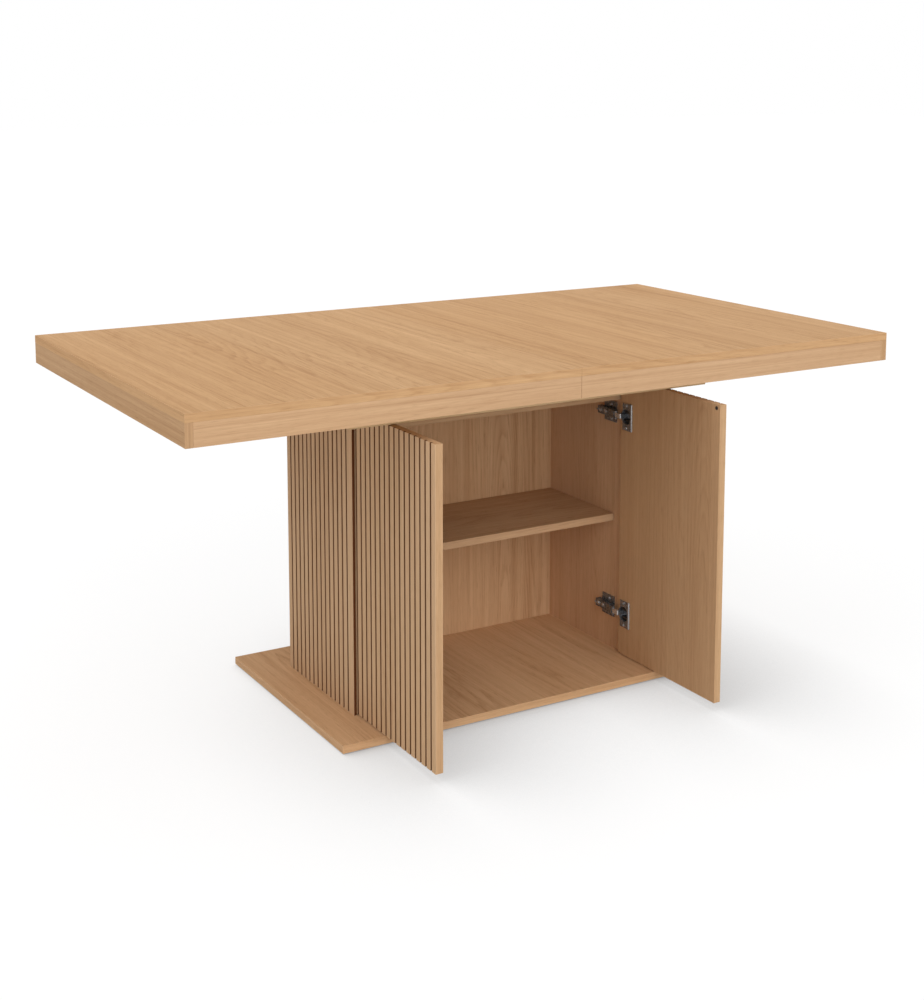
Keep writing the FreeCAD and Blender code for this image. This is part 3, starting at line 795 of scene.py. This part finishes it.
class Mould:
    """Gathers turned and pressed shapes in one mesh."""

    crease = math.radians(38)
    rounding = ((1.0, 1.0), (0.7, 0.3), (0.0, 0.0))

    def __init__(self) -> None:
        """Start empty."""
        self.mesh = bmesh.new()

    def _ring(self, points: Iterable[Sequence[float]], placing: Matrix) -> Row:
        """Add a row of vertices, placed in the shared frame."""
        return [self.mesh.verts.new(placing @ Vector(point)) for point in points]

    def _skin(self, lower: Row, upper: Row) -> None:
        """Close the band between two rows of vertices.

        Args:
            lower: One row, or a single point.
            upper: The other row, or a single point.
        """
        count = max(len(lower), len(upper))
        for i in range(count):
            j = (i + 1) % count
            corners = [row[k % len(row)] for row, k in ((lower, i), (lower, j), (upper, j), (upper, i))]
            self.mesh.faces.new(list(dict.fromkeys(corners)))

    def turned(self, profile: Sequence[Pair], placing: Matrix, steps: int = 28) -> Row:
        """Turn a profile about the Z axis.

        Args:
            profile: Radius and height of each ring, from the bottom up; a radius of nought is a point.
            placing: Where the shape goes.
            steps: Corners of each ring.

        Returns:
            The last ring, left open unless its radius is nought.
        """
        rows = []
        for radius, height in profile:
            turns = [2 * math.pi * i / steps for i in range(steps)] if radius else [0.0]
            ring = [(radius * math.cos(t), radius * math.sin(t), height) for t in turns]
            rows.append(self._ring(ring, placing))
        for lower, upper in zip(rows, rows[1:]):
            self._skin(lower, upper)
        return rows[-1]

    def screw(self, placing: Matrix, size: Screw) -> None:
        """A pan-head screw with a cross recess.

        Args:
            placing: Seat of the head and direction out of the seat.
            size: The screw's sizes.
        """
        rim = self.turned(size.profile(), placing)
        taper, sunk = size.slot_taper, size.height * size.slot_floor
        mouth = self._ring([(x, y, size.height) for x, y in size.cross()], placing)
        floor = self._ring([(x * taper, y * taper, sunk) for x, y in size.cross()], placing)
        self._skin(mouth, floor)
        self.mesh.faces.new(floor)
        loops = [self.mesh.edges.get((row[i - 1], row[i])) or self.mesh.edges.new((row[i - 1], row[i]))
                 for row in (rim, mouth) for i in range(len(row))]
        bmesh.ops.triangle_fill(self.mesh, use_beauty=True, edges=loops)

    def pressed(self, outline: Sequence[Pair], low: float, high: float, rim: float, placing: Matrix) -> None:
        """A slab with a rounded upper edge.

        Args:
            outline: Corners of the slab, counter-clockwise.
            low: Its underside.
            high: Its upper face.
            rim: Rounding of the edge.
            placing: Where the slab goes.
        """
        middle = Vector((sum(x for x, _ in outline), sum(y for _, y in outline))) / len(outline)
        spokes = [Vector(corner) - middle for corner in outline]
        rows = []
        for share, height in ((1.0, low), *((share, high - rim * drop) for share, drop in self.rounding)):
            inset = [c * (1 - rim * (1 - share) / max(c.length, rim * 2)) + middle for c in spokes]
            rows.append(self._ring([(c.x, c.y, height) for c in inset], placing))
        for lower, upper in zip(rows, rows[1:]):
            self._skin(lower, upper)
        self.mesh.faces.new(rows[0][::-1])
        self.mesh.faces.new(rows[-1])

    def piece(self, name: str, finish: Finish, body: str, slot: Slot) -> bpy.types.Object:
        """Make the gathered shapes a piece that moves with a body.

        Args:
            name: The piece's name.
            finish: What it is made of.
            body: The body it moves with.
            slot: The record's slot of its finish; not used.

        Returns:
            The new piece.
        """
        bmesh.ops.recalc_face_normals(self.mesh, faces=self.mesh.faces)
        data = bpy.data.meshes.new(name)
        self.mesh.to_mesh(data)
        self.mesh.free()
        data.shade_smooth()
        data.set_sharp_from_angle(angle=self.crease)
        made = bpy.data.objects.new(name, data)
        bpy.context.scene.collection.objects.link(made)
        places = [vertex.co for vertex in data.vertices]
        low, high = (Vector(pick(c[i] for c in places) for i in range(3)) for pick in (min, max))
        data.materials.append(finish.material(name, (low, high)))
        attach(made, body)
        return made


@dataclass
class SubAssembly:
    """A group of nodes that are dressed together; edges in metres, angles in degrees."""

    board_edge: float = 0.0007
    fitting_edge: float = 0.0003
    flute_edge: float = 0.0006
    edge_steps: int = 2
    edge_angle: float = 40.0
    flat_angle: float = 0.5
    weld_reach: float = 2e-6

    def dress(self, name: str, finish: Finish, edge: float) -> bpy.types.Object:
        """Break a node's edges and give it its finish.

        Args:
            name: The CAD node.
            finish: What it is made of.
            edge: Width of the broken edge, in metres.

        Returns:
            The node's object.
        """
        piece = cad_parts[name]
        painted = finish.material(name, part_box(name))
        for holder in piece.material_slots:
            holder.material = painted
        self.soften(piece, edge)
        return piece

    def soften(self, piece: bpy.types.Object, edge: float) -> None:
        """Round off the sharp edges of a piece.

        Args:
            piece: The object.
            edge: Width of the rounding, in metres.
        """
        weld = piece.modifiers.new("weld", "WELD")
        weld.merge_threshold = self.weld_reach
        flat = piece.modifiers.new("flat", "DECIMATE")
        flat.decimate_type = "DISSOLVE"
        flat.angle_limit = math.radians(self.flat_angle)
        bevel = piece.modifiers.new("edge", "BEVEL")
        bevel.width = edge
        bevel.segments = self.edge_steps
        bevel.limit_method = "ANGLE"
        bevel.angle_limit = math.radians(self.edge_angle)
        bevel.use_clamp_overlap = True
        even = piece.modifiers.new("even", "WEIGHTED_NORMAL")
        even.keep_sharp = True


@dataclass
class TableTop(SubAssembly):
    """The two sliding halves: panels, aprons, battens, blocks and pegs, in metres."""

    screw: Screw = Screw(0.0042, 0.0014, 0.002, 0.02)
    screw_margin: float = 0.04
    batten_width: float = 0.022

    def build(self) -> Iterator[bpy.types.Object]:
        """Dress both halves.

        Returns:
            The dressed pieces, one at a time.
        """
        long_apron = OakVeneer(Axis.X, Axis.Y, shift=1.7, contrast=0.85, figure=0.4, fineness=2.4,
                               cast=(0.96, 0.96, 1.0))
        # Painted shade: the end aprons' cast makes them darker copies of the apron veneer.
        end_apron = OakVeneer(Axis.Y, Axis.Z, shift=2.3, contrast=0.9, figure=0.5, fineness=2.4,
                              cast=(0.84, 0.81, 0.79))
        batten = replace(SOLID_OAK, shift=4.1)
        for side in Side:
            yield self.dress(f"top_panel_{side.word}", replace(TOP_VENEER, shift=0.3), self.board_edge)
            for place in ("front", "rear"):
                yield self.dress(f"{place}_apron_{side.word}", long_apron, self.board_edge)
            yield self.dress(f"end_apron_{side.word}", end_apron, self.board_edge)
            yield self.dress(f"slide_battens_{side.word}", batten, self.board_edge)
            yield self.dress(f"corner_blocks_{side.word}", batten, self.board_edge)
            yield self.dress(f"slide_bars_{side.word}", ZincSteel(), self.fitting_edge)
            yield self._batten_screws(side)
        yield self.dress("seam_pegs", replace(SOLID_OAK, shift=5.2, gloss=0.55), self.fitting_edge)

    def _batten_screws(self, side: Side) -> bpy.types.Object:
        """Screws that hold the battens up to the panel.

        Args:
            side: Left or right half.

        Returns:
            The screws of both battens.
        """
        mould = Mould()
        near, far = outwards(f"slide_battens_{side.word}")
        line = far.y - self.batten_width / 2
        for y in (-line, line):
            for x in (near.x + self.screw_margin, (near.x + far.x) / 2, far.x - self.screw_margin):
                mould.screw(aimed((side.value * x, y, near.z), DOWN), self.screw)
        return mould.piece(f"batten_screws_{side.word}", Nickel(), f"{side.word}_top", Slot.NICKEL)


@dataclass
class Cabinet(SubAssembly):
    """Base plate, fluted sides, back, shelf, rails and their small fittings, in metres."""

    flute_pitch: float = 0.0206
    flute_front: float = 0.025
    flute_back: float = 0.0175
    rebate_room: float = 0.0015

    def build(self) -> Iterator[bpy.types.Object]:
        """Dress the carcass.

        Returns:
            The dressed pieces, one at a time.
        """
        base = OakVeneer(Axis.Y, Axis.X, shift=6.4, contrast=0.8, cast=(1.0, 0.99, 1.0))
        yield self.dress("base_plate", base, self.board_edge)
        for side in Side:
            # Painted light: the cast lightens the side panels, their outer flutes and their inner faces.
            panel = OakVeneer(Axis.Z, Axis.Y, shift=7.3, contrast=0.6, figure=0.7, fineness=2.0,
                              cast=(1.02, 1.02, 1.1), flutes=self._flutes(side))
            yield self.dress(f"side_panel_{side.word}", panel, self.flute_edge)
        # Painted shade: the casts darken the back panel a little, and the shelf and rails more, where they
        # stand in the shade of the top.
        back = OakVeneer(Axis.Z, Axis.X, shift=8.9, contrast=0.85, cast=(0.97, 0.96, 0.98))
        yield self.dress("back_panel", back, self.board_edge)
        shelf = OakVeneer(Axis.X, Axis.Y, shift=9.6, contrast=0.7, cast=(0.8, 0.79, 0.82))
        yield self.dress("shelf", shelf, self.board_edge)
        rail = OakVeneer(Axis.X, Axis.Y, shift=10.8, contrast=0.7, cast=(0.84, 0.86, 0.9))
        for place in ("front", "rear"):
            yield self.dress(f"{place}_rail", rail, self.board_edge)
        yield self.dress("base_glides", MouldedPlastic(), self.fitting_edge)
        yield self.dress("shelf_pins", Nickel(), self.fitting_edge)

    def _flutes(self, side: Side) -> Flutes:
        """Find the grooves of a side panel.

        Args:
            side: Left or right panel.

        Returns:
            The grooves, and the rebate that the closed door lies in.
        """
        near, far = outwards(f"side_panel_{side.word}")
        room = far.y - near.y - self.flute_front - self.flute_back
        count = math.floor(room / self.flute_pitch) + 1
        wall = outwards(f"door_panel_{side.word}")[1].x + self.rebate_room
        return Flutes(far.x, near.y + self.flute_front, self.flute_pitch, count, lip=(near.y, wall),
                      cast=(0.96, 1.0, 1.0))


@dataclass
class Doors(SubAssembly):
    """The two fluted doors with their strike discs, in metres."""

    flute_pitch: float = 0.0201
    flute_margin: float = 0.0165

    def build(self) -> Iterator[bpy.types.Object]:
        """Dress both doors.

        Returns:
            The dressed pieces, one at a time.
        """
        for side in Side:
            # Painted light and shade: the door's cast darkens its inner face and edges, and the flutes' cast
            # lightens its outer face.
            panel = OakVeneer(Axis.Z, Axis.Y, shift=12.7, contrast=0.55, figure=0.6, fineness=2.0,
                              cast=(0.9, 0.88, 0.87), flutes=self._flutes(side))
            yield self.dress(f"door_panel_{side.word}", panel, self.flute_edge)
            yield self.dress(f"strike_disc_{side.word}", MouldedPlastic(), self.fitting_edge)

    def _flutes(self, side: Side) -> Flutes:
        """Find the grooves of a door, counted from its hinge edge.

        Args:
            side: Left or right door.

        Returns:
            The grooves.
        """
        near, far = outwards(f"door_panel_{side.word}")
        count = math.floor((far.y - near.y - 2 * self.flute_margin) / self.flute_pitch) + 1
        # The flutes' cast is painted light on the outer face.
        return Flutes(far.x, far.y - self.flute_margin, -self.flute_pitch, count, cast=(1.09, 1.16, 1.25))


@dataclass
class Hinges(SubAssembly):
    """Cups, arms, links, mounts and screws of the four door hinges, in metres."""

    screw: Screw = Screw()
    flange_half: float = 0.03

    # Trim along the front of a flange: its front and back are counted forwards from the middle of the cup.
    trim_front: float = 0.0197
    trim_back: float = 0.0139
    trim_rise: float = 0.0034
    trim_foot: float = 0.45
    trim_steps: int = 8
    trim_rim: float = 0.0006

    # Adjusting screws on an arm, counted forwards from its rear end, with their oval seats. Their face lies
    # arm_step behind the innermost point of the arm.
    adjuster: Screw = Screw(0.0031, 0.0008, 0.0016, 0.003)
    arm_step: float = 0.006
    arm_screws: Pair = (0.028, 0.01)
    seat_radii: Pair = (0.0062, 0.0048)
    seat_steps: int = 24
    seat_sunk: float = 0.0002
    seat_rise: float = 0.0005
    seat_rim: float = 0.0003

    # Clip lever at the rear end of an arm.
    lever_half: float = 0.0052
    lever_tip: float = 0.004
    lever_rises: Triple = (-0.002, 0.001, 0.0024)
    lever_drop: float = 0.004
    lever_lap: float = 0.0002
    lever_sunk: float = 0.0003
    lever_reach: float = 0.0028
    lever_rim: float = 0.0006

    # Damper block in a cup: how far above or below the middle of the hinge it starts, bends and ends.
    damper_spans: Triple = (0.0066, 0.011, 0.0132)
    damper_half: float = 0.0105
    damper_flat: float = 0.007
    damper_room: float = 0.001
    damper_rim: float = 0.0008

    def build(self) -> Iterator[bpy.types.Object]:
        """Dress the hinges and add their screws, levers, trims and dampers.

        Returns:
            The dressed pieces, one at a time.
        """
        # Painted shade and highlight: the cups, arms and mounts take darker nickel and the links brighter
        # nickel, though all are the same plating.
        shaded_and_lit_nickel = {"hinge_cups": Nickel("8B8E92", "5A5D61", 0.65),
                  "hinge_links": Nickel("D2D3D4", "A9ABAD"),
                  "hinge_arms": Nickel("75787C", "4C4F53", 0.65),
                  "hinge_mounts": Nickel("7E8185", "54575B", 0.6)}
        for side in Side:
            for part, plate in shaded_and_lit_nickel.items():
                yield self.dress(f"{part}_{side.word}", plate, self.fitting_edge)
            yield self._screws(side, "cup_screws", f"{side.word}_door")
            yield self._screws(side, "mount_screws", "pedestal")
            yield self._adjusters(side)
            yield self._trims(side)
            yield self._dampers(side)

    def _levels(self, side: Side) -> Pair:
        """Heights of a door's lower and upper hinge."""
        near, far = outwards(f"hinge_cups_{side.word}")
        return near.z + self.flange_half, far.z - self.flange_half

    @staticmethod
    def _cup_line(side: Side) -> float:
        """Place of a door's hinge cups along Y."""
        near, far = outwards(f"hinge_cups_{side.word}")
        return (near.y + far.y) / 2

    def _screws(self, side: Side, node: str, body: str) -> bpy.types.Object:
        """Screws above and below each hinge, with cross recesses.

        Args:
            side: Left or right door.
            node: The CAD screws that they stand for.
            body: The body that they move with.

        Returns:
            The screws of both hinges.
        """
        mould = Mould()
        near, far = outwards(f"{node}_{side.word}")
        face = side.value * (near.x + self.screw.height)
        levels = self._levels(side)
        spread = levels[0] - near.z - self.screw.radius
        for level in levels:
            for up in (-spread, spread):
                mould.screw(aimed((face, (near.y + far.y) / 2, level + up), side.inwards), self.screw)
        screws = mould.piece(f"recessed_{node}_{side.word}", Nickel(), body, Slot.NICKEL)
        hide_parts(f"{node}_{side.word}")
        return screws

    def _adjusters(self, side: Side) -> bpy.types.Object:
        """Adjusting screws, their pressed seats and the clip lever on each arm.

        Args:
            side: Left or right door.

        Returns:
            The fittings of both arms.
        """
        mould = Mould()
        near, far = outwards(f"hinge_arms_{side.word}")
        face = near.x + self.arm_step
        turns = [2 * math.pi * i / self.seat_steps for i in range(self.seat_steps)]
        oval = [(self.seat_radii[0] * math.cos(t), self.seat_radii[1] * math.sin(t)) for t in turns]
        half, tip = self.lever_half, self.lever_tip
        foot, bend, top = self.lever_rises
        lever = [(-half, foot), (half, foot), (half, bend), (tip, top), (-tip, top), (-half, bend)]
        for level in self._levels(side):
            for ahead in self.arm_screws:
                seat = aimed((side.value * face, far.y - ahead, level), side.inwards)
                mould.pressed(oval, -self.seat_sunk, self.seat_rise, self.seat_rim, seat)
                mould.screw(seat @ Matrix.Translation((0, 0, self.seat_rise)), self.adjuster)
            clip = aimed((side.value * (face + self.lever_drop), far.y - self.lever_lap, level), TO_REAR)
            mould.pressed(lever, -self.lever_sunk, self.lever_reach, self.lever_rim, clip)
        return mould.piece(f"arm_adjusters_{side.word}", Nickel(), "pedestal", Slot.NICKEL)

    def _trims(self, side: Side) -> bpy.types.Object:
        """Rounded bar along the free edge of each flange.

        Args:
            side: Left or right door.

        Returns:
            The bars of both hinges.
        """
        mould = Mould()
        face = side.value * outwards(f"door_panel_{side.word}")[0].x
        line = self._cup_line(side) - (self.trim_front + self.trim_back) / 2
        half = (self.trim_front - self.trim_back) / 2
        turns = [math.pi * (i + 0.5) / self.trim_steps for i in range(self.trim_steps)]
        rises = [self.trim_rise * (self.trim_foot + (1 - self.trim_foot) * math.sin(t)) for t in turns]
        bow = [(half * math.cos(t), rise) for t, rise in zip(turns, rises)]
        for level in self._levels(side):
            stand = Matrix(((0, -side.value, 0, face), (1, 0, 0, line),
                            (0, 0, 1, level - self.flange_half), (0, 0, 0, 1)))
            mould.pressed([(-half, 0.0), (half, 0.0), *bow], 0.0, self.flange_half * 2, self.trim_rim, stand)
        plate = Nickel("A9ABAE", "8C8E91", 0.6)
        return mould.piece(f"flange_trims_{side.word}", plate, f"{side.word}_door", Slot.NICKEL)

    def _dampers(self, side: Side) -> bpy.types.Object:
        """Two black damper blocks in each cup, with room for the link between them; they also darken the cup
        hollow as painted shade.

        Args:
            side: Left or right door.

        Returns:
            The dampers of both hinges.
        """
        mould = Mould()
        floor = outwards(f"hinge_cups_{side.word}")[1].x
        rise = floor - outwards(f"door_panel_{side.word}")[0].x - self.damper_room
        start, bend, end = self.damper_spans
        half, flat = self.damper_half, self.damper_flat
        block = [(start, -half), (bend, -half), (end, -flat), (end, flat), (bend, half), (start, half)]
        for level in self._levels(side):
            for turn in (-1, 1):
                stand = Matrix(((0, 0, -side.value, side.value * floor), (0, turn, 0, self._cup_line(side)),
                                (turn, 0, 0, level), (0, 0, 0, 1)))
                mould.pressed(block, 0.0, rise, self.damper_rim, stand)
        return mould.piece(f"cup_dampers_{side.word}", MouldedPlastic(), f"{side.word}_door", Slot.PLASTIC)


@dataclass
class Extension(SubAssembly):
    """Carrier plate, runners and the folded leaf under the top, in metres."""

    screw: Screw = Screw(length=0.009)
    screw_share: float = 0.62
    bracket_width: float = 0.02
    bracket_wall: float = 0.002

    def build(self) -> Iterator[bpy.types.Object]:
        """Dress the extension mechanism.

        Returns:
            The dressed pieces, one at a time.
        """
        raw = replace(CARRIER_WOOD, shift=14.2)
        leaf = replace(TOP_VENEER, shift=15.5)
        yield self._bracket_screws()
        yield self.dress("carrier_plate", raw, self.board_edge)
        for place in ("front", "rear"):
            yield self.dress(f"runner_beam_{place}", raw, self.board_edge)
            yield self.dress(f"slide_channel_{place}", ZincSteel(), self.fitting_edge)
        yield self.dress("leaf_bearers", raw, self.board_edge)
        for place in ("lower", "upper"):
            yield self.dress(f"leaf_board_{place}", leaf, self.board_edge)
        yield self.dress("leaf_hinges", Nickel(), self.fitting_edge)
        yield self.dress("plate_brackets", ZincSteel(), self.fitting_edge)

    def _bracket_screws(self) -> bpy.types.Object:
        """Two screws in each angle bracket between the sides and the carrier plate.

        Returns:
            The screws of all brackets.
        """
        mould = Mould()
        low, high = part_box("plate_brackets")
        along = (high.z - low.z) * self.screw_share
        line = high.y - self.bracket_width / 2
        for side in Side:
            for y in (-line, line):
                wall = (side.value * (high.x - self.bracket_wall), y, high.z - along)
                flat = (side.value * (high.x - along), y, high.z - self.bracket_wall)
                mould.screw(aimed(wall, side.inwards), self.screw)
                mould.screw(aimed(flat, DOWN), self.screw)
        return mould.piece("bracket_screws", Nickel(), "pedestal", Slot.NICKEL)


@dataclass
class Catches(SubAssembly):
    """Push catches behind the front rail."""

    def build(self) -> Iterator[bpy.types.Object]:
        """Dress the catches.

        Returns:
            The dressed pieces, one at a time.
        """
        yield self.dress("catch_housings", MouldedPlastic(), self.fitting_edge)
        for side in Side:
            yield self.dress(f"catch_plunger_{side.word}", MouldedPlastic(), self.fitting_edge)


@dataclass
class Studio:
    """Pale floor, soft light and the camera; a lamp's direction is as long as its light is strong."""

    floor_size: float = 60.0
    floor_bounce: float = 0.86
    floor_share: float = 0.22
    floor_white: float = 1.03
    # Painted contact shadow: near the object the floor's glow is dimmed towards contact_shade by an
    # occlusion test, leaned to throw it front and right.
    contact_reach: float = 0.45
    contact_shade: float = 0.16
    contact_cast: Triple = (1.0, 0.985, 0.975)
    contact_lean: Triple = (-0.36, 0.36, 0.86)
    contact_rays: int = 12
    dome: float = 0.3
    key: Triple = (-0.03, 0.02, 0.385)
    key_spread: float = 80.0
    fill: Triple = (-0.1, -0.43, 0.2)
    fill_spread: float = 60.0
    side: Triple = (-0.1, -0.02, 0.07)
    side_spread: float = 30.0
    camera_at: Triple = (-1.70503, -2.90435, 1.32186)
    camera_turn: float = 30.3836
    camera_dip: float = 7.688
    camera_sight: float = 200.0
    film_width: float = 36.0
    lens: float = 57.0456
    shift: float = -0.22

    @staticmethod
    def _seen(graph: Graph) -> Value:
        """Tell the rays that show the background from those that light the object.

        Args:
            graph: The tree that the test is for.

        Returns:
            One for camera, glossy and transmitted rays.
        """
        path = graph.node("ShaderNodeLightPath")
        camera, glossy, through = (Value(graph, path.outputs[name])
                                   for name in ("Is Camera Ray", "Is Glossy Ray", "Is Transmission Ray"))
        return camera.most(glossy).most(through)

    def build(self) -> None:
        """Lay the floor, hang the light and stand the camera up."""
        self._floor()
        self._light()
        self._camera()

    def _floor(self) -> None:
        """Lay a pale floor that keeps the object's shadow and adds a painted contact shadow near it."""
        mesh = bpy.data.meshes.new("floor")
        half = self.floor_size / 2
        corners = [(-half, -half, 0), (half, -half, 0), (half, half, 0), (-half, half, 0)]
        mesh.from_pydata(corners, [], [(0, 1, 2, 3)])
        floor = bpy.data.objects.new("floor", mesh)
        bpy.context.scene.collection.objects.link(floor)
        material = bpy.data.materials.new("pale_floor")
        material.use_nodes = True
        graph = Graph(material.node_tree)
        bounce = graph.node("ShaderNodeBsdfDiffuse", sockets={"Color": grey(self.floor_bounce)})
        shade = graph.node("ShaderNodeBsdfDiffuse", sockets={"Color": grey(self.floor_share)})
        # Painted shadow: occlusion within contact_reach dims the floor's glow near the object.
        near = graph.node("ShaderNodeAmbientOcclusion", {"samples": self.contact_rays},
                          {"Distance": self.contact_reach, "Normal": graph.gather(*self.contact_lean)})
        dim = (*(self.contact_shade * part for part in self.contact_cast), 1.0)
        pale = graph.blend(Value(graph, near.outputs["AO"]), dim, grey(self.floor_white - self.floor_share))
        glow = graph.node("ShaderNodeEmission", sockets={"Color": pale, "Strength": 1.0})
        shown = graph.node("ShaderNodeAddShader", sockets={0: shade.outputs[0], 1: glow.outputs[0]})
        mixed = graph.node("ShaderNodeMixShader",
                           sockets={0: self._seen(graph), 1: bounce.outputs[0], 2: shown.outputs[0]})
        graph.node("ShaderNodeOutputMaterial", sockets={"Surface": mixed.outputs[0]})
        mesh.materials.append(material)

    def _light(self) -> None:
        """Hang a soft dome, a wide lamp above, and wide fills in front and at the left."""
        world = bpy.data.worlds.new("studio")
        bpy.context.scene.world = world
        world.use_nodes = True
        graph = Graph(world.node_tree)
        strength = self._seen(graph) * (1.0 - self.dome) + self.dome
        sky = graph.node("ShaderNodeBackground", sockets={"Color": grey(1.0), "Strength": strength})
        graph.node("ShaderNodeOutputWorld", sockets={"Surface": sky.outputs[0]})
        lamps = (("key", self.key, self.key_spread), ("fill", self.fill, self.fill_spread),
                 ("side", self.side, self.side_spread))
        for name, reach, spread in lamps:
            lamp = bpy.data.lights.new(name, "SUN")
            lamp.energy = Vector(reach).length * math.pi
            lamp.angle = math.radians(spread)
            holder = bpy.data.objects.new(name, lamp)
            holder.rotation_euler = Vector(reach).to_track_quat("Z", "Y").to_euler()
            bpy.context.scene.collection.objects.link(holder)

    def _camera(self) -> None:
        """Stand the camera where the photograph was taken from."""
        lens = bpy.data.cameras.new("camera")
        lens.sensor_width = self.film_width
        lens.lens = self.lens
        lens.shift_y = self.shift
        lens.clip_end = self.camera_sight
        camera = bpy.data.objects.new("camera", lens)
        camera.location = self.camera_at
        camera.rotation_euler = (math.radians(90 - self.camera_dip), 0.0, math.radians(-self.camera_turn))
        bpy.context.scene.collection.objects.link(camera)
        bpy.context.scene.camera = camera
        bpy.context.scene.view_settings.view_transform = "Standard"


def main() -> None:
    """Dress the table piece by piece, log each piece's name and set up the studio."""
    logging.basicConfig(level=logging.INFO, format="%(name)s: %(message)s")
    for part in (TableTop(), Cabinet(), Doors(), Hinges(), Extension(), Catches()):
        for piece in part.build():
            LOG.info("%s: %s", type(part).__name__, piece.name)
    Studio().build()


if __name__ == "__main__":
    main()
